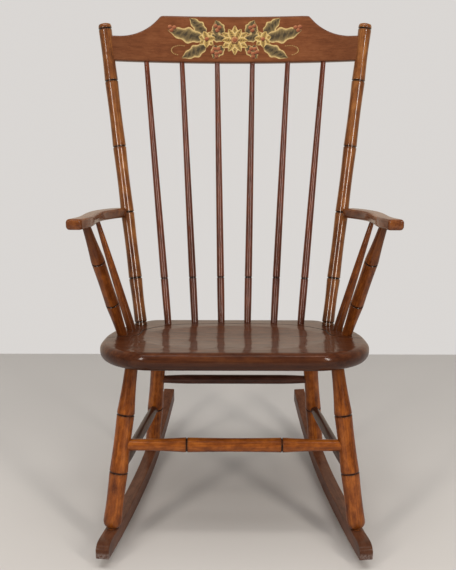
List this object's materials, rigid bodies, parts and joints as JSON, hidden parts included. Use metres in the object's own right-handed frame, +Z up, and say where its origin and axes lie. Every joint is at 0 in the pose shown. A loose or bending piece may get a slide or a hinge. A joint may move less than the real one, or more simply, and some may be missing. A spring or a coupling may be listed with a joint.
{
  "type": "boston rocking chair",
  "caption": "Small wooden spindle-back rocking chair with a saddled plank seat, shaped arms, bamboo-turned legs and a broad crest rail.",
  "frame": {"origin": "on the floor, at the middle of the line between the points where the two rockers touch it at rest", "axes": "+X to the chair's right side as seen from in front, +Y to the back of the chair, +Z up"},
  "size_m": [0.574, 0.6194, 0.9374],
  "materials": {
    "amber_turning": "gloss varnish over amber maple stain",
    "brown_board": "gloss varnish over red-brown stain",
    "brown_turning": "gloss varnish over red-brown stain",
    "dark_board": "gloss varnish over dark brown stain"
  },
  "bodies": {
    "root": {"arm_left": "brown_board", "arm_post_left": "amber_turning", "arm_post_right": "amber_turning", "arm_right": "brown_board", "arm_spindle_left": "brown_turning", "arm_spindle_right": "brown_turning", "back_post_left": "amber_turning", "back_post_right": "amber_turning", "back_spindle_1": "brown_turning", "back_spindle_2": "brown_turning", "back_spindle_3": "brown_turning", "back_spindle_4": "brown_turning", "back_spindle_5": "brown_turning", "back_spindle_6": "brown_turning", "crest_rail": "brown_board", "leg_front_left": "amber_turning", "leg_front_right": "amber_turning", "leg_rear_left": "amber_turning", "leg_rear_right": "amber_turning", "rocker_left": "dark_board", "rocker_right": "dark_board", "seat": "brown_board", "stretcher_front": "amber_turning", "stretcher_rear": "dark_board", "stretcher_side_left": "brown_turning", "stretcher_side_right": "brown_turning"}
  },
  "joints": []
}
